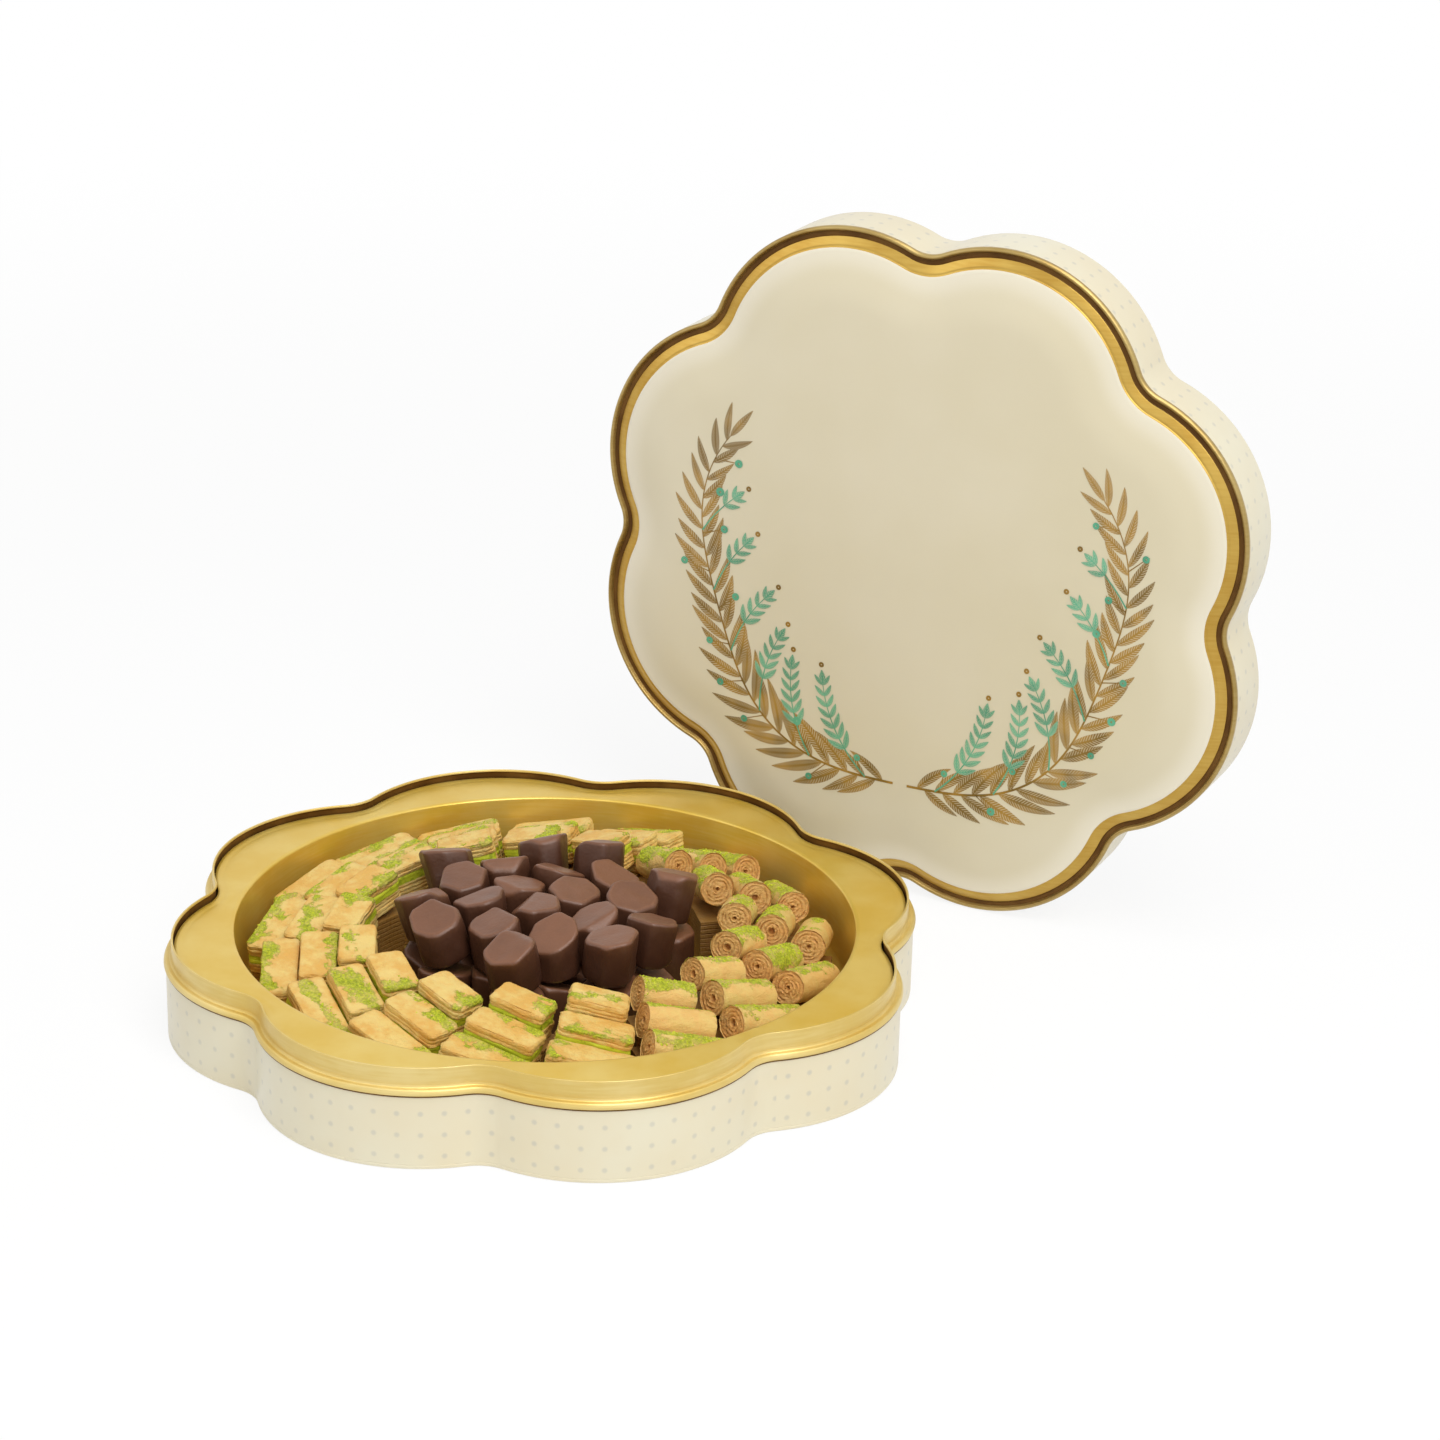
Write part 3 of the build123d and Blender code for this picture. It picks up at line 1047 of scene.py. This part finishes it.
def layeredFinish():
    # cut sides of the lower layer, sheet upon sheet, with painted shade: dark lines between the sheets
    # and the whole darkened
    look = Finish("lowerCrust")
    cloud = look.noise(120, 4)
    sheet = ((look.axis(look.place(), "Z") + cloud * 0.9 * mm) / pastry["lowerSheet"]).math("FRACT")
    gap = (sheet - 0.5).math("ABSOLUTE").between(0.3, 0.5)
    tone = look.mix(cloud.between(0.35, 0.7), pastry["crust"], pastry["rollCrust"])
    # painted shade: the lines between the sheets turn dark brown
    tone = look.mix(gap * 0.75, tone, pastry["crustBrown"])
    # painted shade: three quarters of the colour is lowerShade, as this layer lies in shadow
    return look.surface({
        "Base Color": look.mix(0.75, tone, pastry["lowerShade"]),
        "Roughness": 0.5 + cloud * 0.2,
        "Normal": look.bump(look.noise(700, 3) - gap, 0.5, 0.6 * mm),
    })


slabCrust = crustFinish("slabCrust", ("crustPale", "crust", "crustBrown"), 0.5)
rollCrust = crustFinish("rollCrust", ("crustPale", "rollCrust", "crustBrown"), 0.6)
rollEnd = crustFinish("rollEnd", ("rollCrust", "rollEnd", "rollGroove"), 0.9)
lowerCrust = layeredFinish()
groundNut = nutFinish()


def roundedBox(width, length, radius, perSide, perCorner):
    # outline of a slab from above, anticlockwise
    points = []
    inX, inY = width / 2 - radius, length / 2 - radius
    corners = ((inX, inY), (-inX, inY), (-inX, -inY), (inX, -inY))
    for quarter, (cx, cy) in enumerate(corners):
        for step in range(perCorner + 1):
            points.append(polar(radius, pi / 2 * (quarter + step / perCorner), cx, cy))
        x, y = points[-1]
        nextX, nextY = corners[(quarter + 1) % 4]
        goalX, goalY = (x, nextY) if quarter % 2 else (nextX, y)
        for step in range(1, perSide):
            t = step / perSide
            points.append((x + (goalX - x) * t, y + (goalY - y) * t))
    return points


def nutField(rng, width, length):
    # where ground nut lies on a slab: along one long edge, at one end, or over the middle
    seed = rng.uniform(0, 50)
    side = rng.choice((-1, 1))
    kind = rng.random()
    reach = rng.uniform(0.16, 0.34)

    def field(x, y):
        if kind < 0.5:
            away = 0.5 - side * x / width
        elif kind < 0.8:
            away = (0.5 - side * y / length) * 1.3
        else:
            away = abs(x / width - side * 0.1 + y / length * 0.4) * 1.2
        patch = wave(x, y, 0, 150, seed) * 0.5 + wave(x, y, 0, 420, seed) * 0.25
        return clamped(0.42 + (reach - away + patch) * 1.8)

    return field


def sticks(rng, nut):
    # whether a crumb stays where the nut lies this thick
    return nut * 0.9 >= rng.uniform(0.25, 1.15)


def addSlab(parts, matrix, size, rng):
    # a stack of sheets with a nut filling, and ground pistachio over part of the top
    width, length, height = size
    seed = rng.uniform(0, 50)
    outline = roundedBox(width + 0.3 * mm, length + 0.1 * mm, pastry["edgeR"], 9, 4)
    nutLow = rng.choice((3, 4))  # the filling is this sheet and the next
    field = nutField(rng, width, length)
    taper = rng.uniform(-0.05, 0.05)
    skew = rng.uniform(-0.04, 0.04)
    top = height / 2
    thick = height * 0.93 / pastry["sheets"]
    levels = []  # (height, inset, shade, whether it is nut)
    for sheet in range(pastry["sheets"]):
        low = thick * sheet - top
        inset = rng.uniform(0, 0.35) * mm
        isNut = sheet in (nutLow, nutLow + 1)
        # painted shade: the ring at each sheet's foot, in the groove under the sheet, gets a low shade
        levels += [
            (low + 0.02 * mm, inset + pastry["sheetDepth"], 0.3, isNut),
            (low + thick * 0.35, inset + (0.3 if isNut else 0) * mm, 0.95, isNut),
            (low + thick * 0.8, inset + (0.35 if isNut else 0.05) * mm, 0.8, isNut),
        ]
    levels += [(top - 0.9 * mm, 0.25 * mm, 0.7, False), (top - 0.35 * mm, 0.8 * mm, 0.5, False)]

    def shaped(x, y, z):
        # slabs are cut by hand, so each is a little out of square
        return x * (1 + taper * y / length - 0.03 * abs(taper)), y + skew * x, min(z, top)

    points = []
    for level, inset, shade, isNut in levels:
        rough = pastry["nutWobble"] if isNut else pastry["wobble"]
        for x, y in outline:
            grow = rough * (wave(x, y, level, 380, seed) + 0.5 * wave(x, y, level * 3, 900, seed)) - inset
            share = 1 + grow / hypot(x, y)
            lift = 0.5 * mm * wave(x, y, level * 0.3, 150, seed + 9)
            nut = 1.0 if isNut else field(x, y) * max(0.0, level / top) ** 2
            points.append((shaped(x * share, y * share, level + lift), shade, nut))
    inner = (0.93, 0.82, 0.68, 0.52, 0.34, 0.14)
    for scale in inner:
        for x, y in outline:
            x, y = x * scale, y * scale
            bump = 0.6 * mm * wave(x, y, 0, 240, seed) + 0.3 * mm * wave(x, y, 3, 700, seed)
            crown = 0.25 * mm * (1 - scale ** 2)
            place = shaped(x, y, top - 0.3 * mm + crown + bump * 0.6)
            points.append((place, 0.62 if scale > 0.9 else 0.95, field(x, y)))
    faces = tubeFaces(len(levels) + len(inner), len(outline))
    bands = [int(isNut) for level, inset, shade, isNut in levels] + [0] * (len(inner) - 1)
    tints = [band for band in bands for point in outline] + [0, 0]
    parts.add(matrix, points, faces, tints)
    for crumb in range(pastry["slabNuts"]):
        x = rng.uniform(-0.47, 0.47) * width
        y = rng.uniform(-0.47, 0.47) * length
        if sticks(rng, field(x, y)):
            place = matrix @ Vector((x, y, top - 0.15 * mm))
            addChunk(parts, place, matrix.to_3x3().col[2], rng, 1)


def addRoll(parts, matrix, size, rng):
    # a wound roll with frayed ends, and ground pistachio over its top
    length, height = size[1:]
    radius = height / 2 * 0.995
    seed = rng.uniform(0, 50)
    count = 48
    half = length / 2 - 0.1 * mm
    spin = rng.uniform(0, tau)
    squash = rng.uniform(0.92, 1.0)
    hole = rng.uniform(0.08, 0.2)
    patchAt = rng.uniform(-0.5, 0.5)
    patchW = rng.uniform(0.35, 1.05)
    points = []

    def nutAt(angle, y):
        # angle from the top of the roll
        patch = 0.9 * wave(sin(angle) * 0.02, y, 0, 120, seed + 20)
        return clamped(0.42 + (patchW - abs(angle - patchAt) + patch) * 0.7)

    def onRoll(x, y, z):
        # a little flat, and lying on what is under it
        return x, y, z * squash - radius * (1 - squash)

    def addEnd(y, share):
        # one ring of the wound end, with painted shade: dark in the hole and between the windings
        for angle in around(count):
            far = radius * share
            x, z = polar(far, angle)
            shred = wave(x, z, y, 420, seed + 3)
            wound = (far / pastry["rollPitch"] - (angle + spin) / tau + shred * 0.45) % 1
            groove = sin(wound * pi) ** 0.7
            fray = 0.5 + 0.5 * wave(x, z, y, 1300, seed)
            # painted shade: shade is 0 in the hole and low deep between the windings
            sink, shade = 2.4 * mm, 0.0
            if share > hole:
                sink, shade = (1 - groove * fray) * 1.1 * mm, groove * (0.55 + 0.45 * fray)
            points.append((onRoll(x, y + sink if y < 0 else y - sink, z), shade, 0.0))

    def addSkin(y):
        for angle in around(count):
            x, z = polar(1, angle)
            crease = 0.3 * mm * wave(x * 4, z * 4, y * 260, 1.0, seed)
            far = radius + crease * 1.4 - 0.2 * mm
            shade = 0.8 + 0.2 * wave(x * 6, z * 6, y * 500, 1.0, seed)
            nut = nutAt((pi / 2 - angle + pi) % tau - pi, y)
            points.append((onRoll(far * x, y, far * z), shade, nut))

    shares = [0.05 + 0.08 * i for i in range(11)] + [0.92, 0.97]
    ys = [-half + 0.3 * mm] + [(i / 7 - 13 / 14) * half for i in range(14)] + [half - 0.3 * mm]
    for share in shares:
        addEnd(-half, share)
    for y in ys:
        addSkin(y)
    for share in reversed(shares):
        addEnd(half, share)
    faces = tubeFaces(len(ys) + 2 * len(shares), count, True)
    end = [1] * count * (len(shares) - 1)
    tints = end + [0] * count * (len(ys) + 1) + end + [1, 1]
    parts.add(matrix, points, faces, tints)
    for crumb in range(pastry["rollNuts"]):
        angle = patchAt + rng.uniform(-1.5, 1.5)
        y = rng.uniform(-0.97, 0.97) * half
        if sticks(rng, nutAt(angle, y)):
            out = Vector((sin(angle), 0, cos(angle)))
            place = onRoll(out.x * (radius - 0.2 * mm), y, out.z * (radius - 0.2 * mm))
            addChunk(parts, matrix @ Vector(place), matrix.to_3x3() @ out, rng, 2)


chocolate = {
    # side and top are the painted shade and painted light of one chocolate
    "side": (0.058, 0.021, 0.011),
    "top": (0.20, 0.082, 0.038),
    "bloom": (0.17, 0.088, 0.066),
    "rim": 1.5 * mm,
    "cornerSoft": 0.32 * mm,
    "swell": 1.03,  # widest point against the plain piece
    "facets": (5, 6, 6, 7),
    "waver": 0.35 * mm,
}


def chocolateFinish():
    # painted light and shade: dark at the foot and sides, paler ends, lightest on the rounded rim, with a
    # little bloom
    look = Finish("milkChocolate")
    cloud = look.noise(75, 4)
    grain = look.noise(600, 3)
    # painted light and shade: the shade attribute lightens the colour from the foot to the rim and end
    pale = (look.attribute("shade") * (0.5 + cloud)).math("MINIMUM", 1.0)
    tone = look.mix(pale, chocolate["side"], chocolate["top"])
    return look.surface({
        "Base Color": look.mix(cloud.between(0.55, 0.8) * 0.2, tone, chocolate["bloom"]),
        "Roughness": 0.34 + cloud * 0.16,
        "Specular IOR Level": 0.4,
        "Coat Weight": 0.15,
        "Coat Roughness": 0.28,
        "Normal": look.bump(grain + cloud * 3.5, 0.25, 0.5 * mm),
    })


milkChocolate = chocolateFinish()


def softMin(values, soft):
    # least of the values, with the corner between the two least rounded
    low = min(values)
    return low - soft * log(sum(exp((low - value) / soft) for value in values))


def addChocolate(parts, matrix, size, rng):
    # an uneven prism with a sloping end, its facets run together where they meet
    wide, tall, deep = size
    radius = min(wide, deep) / 2 * chocolate["swell"]
    seed = rng.uniform(0, 50)
    count = 56
    sides = rng.choice(chocolate["facets"])
    spin = rng.uniform(0, tau)
    facets = []
    for side in range(sides):
        at = spin + tau * (side + rng.uniform(-0.22, 0.22)) / sides
        facets.append((at, radius * rng.uniform(0.87, 0.98)))
    soft = chocolate["cornerSoft"]
    reach = []
    for angle in around(count):
        far = [away / max(cos(angle - at), 0.15) for at, away in facets]
        reach.append(min(softMin(far, soft), radius))
    # the end: one face nearly square across and up to three cut corners
    planes = [(rng.uniform(0.04, 0.4), rng.uniform(0, tau), -radius)]
    for cut in range(rng.choice((1, 2, 2, 3))):
        planes.append((rng.uniform(0.4, 1.0), rng.uniform(0, tau), radius * rng.uniform(0.1, 0.65)))
    half = tall / 2

    def endAt(x, z):
        heights = [half]
        for slope, at, start in planes:
            heights.append(half - slope * (x * cos(at) + z * sin(at) - start))
        return softMin(heights, soft)

    # rings as (height, width, shade): foot, side, rounded rim, end; shade is painted light, from dark at
    # the foot to a painted highlight on the rim
    rim = chocolate["rim"]
    levels = [(-0.5, 0.88, 0.0), (-0.49, 0.94, 0.0), (-0.46, 0.985, 0.05)]
    levels += [(-0.4 + 0.1 * step, 1.0, 0.05 + 0.12 * step / 7) for step in range(8)]
    for step in range(6):
        angle = pi / 2 * step / 5
        drop, draw = 1 - sin(angle), 1 - cos(angle)
        levels.append((0.5 - rim / tall * drop, 1 - rim / radius * draw, 0.3 + 0.15 * step))
    edge = levels[-1][1]
    levels += [(0.5, edge * share, 0.85) for share in (0.93, 0.84, 0.72, 0.58, 0.42, 0.26, 0.1)]
    points = []
    paler = rng.uniform(0.8, 1.25)
    for level, share, shade in levels:
        for angle, far in zip(around(count), reach):
            x, z = polar(far * share, angle)
            y = -half + (level + 0.5) * (endAt(x, z) + half)
            waver = wave(x, y, z, 120, seed) + 0.4 * wave(x, y, z, 330, seed) - 0.5
            x, z = polar(chocolate["waver"] * waver * share, angle, x, z)
            y = max(-half, y + 0.25 * mm * (wave(x, y, z, 170, seed + 5) - 0.6))
            points.append(((x, y, z), shade * paler, 0.0))
    faces = tubeFaces(len(levels), count, True)
    parts.add(matrix, points, faces, [0] * len(faces))


sweets = {
    # start of the nodes' names: piece, what is made, materials, slot, seed and sharp angle
    "roll_row": ("rollRow", addRoll, [rollCrust, rollEnd, groundNut], "rolled_pastry", 100, 40),
    "slab_row": ("slabRow", addSlab, [slabCrust, groundNut], "pastry", 200, 40),
    "chocolate_row": ("chocolateRow", addChocolate, [milkChocolate], "chocolate", 300, 50),
    "under_heap": ("lowerChocolates", addChocolate, [milkChocolate], "chocolate", 300, 50),
}
for index, node in enumerate(sorted(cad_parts)):
    kind = node.rstrip("_0123456789")
    if kind in sweets:
        name, add, materials, slot, seed, sharp = sweets[kind]
        rng = random.Random(seed + index)
        parts = Crumbs()
        for matrix, size in solidsOf(node):
            add(parts, matrix, size, rng)
        addPiece(name + node[len(kind) + 1:], parts.mesh(), materials, "insert", [node], slot, sharp)
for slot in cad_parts["under_layer"].material_slots:
    slot.material = lowerCrust
print("sweets made")
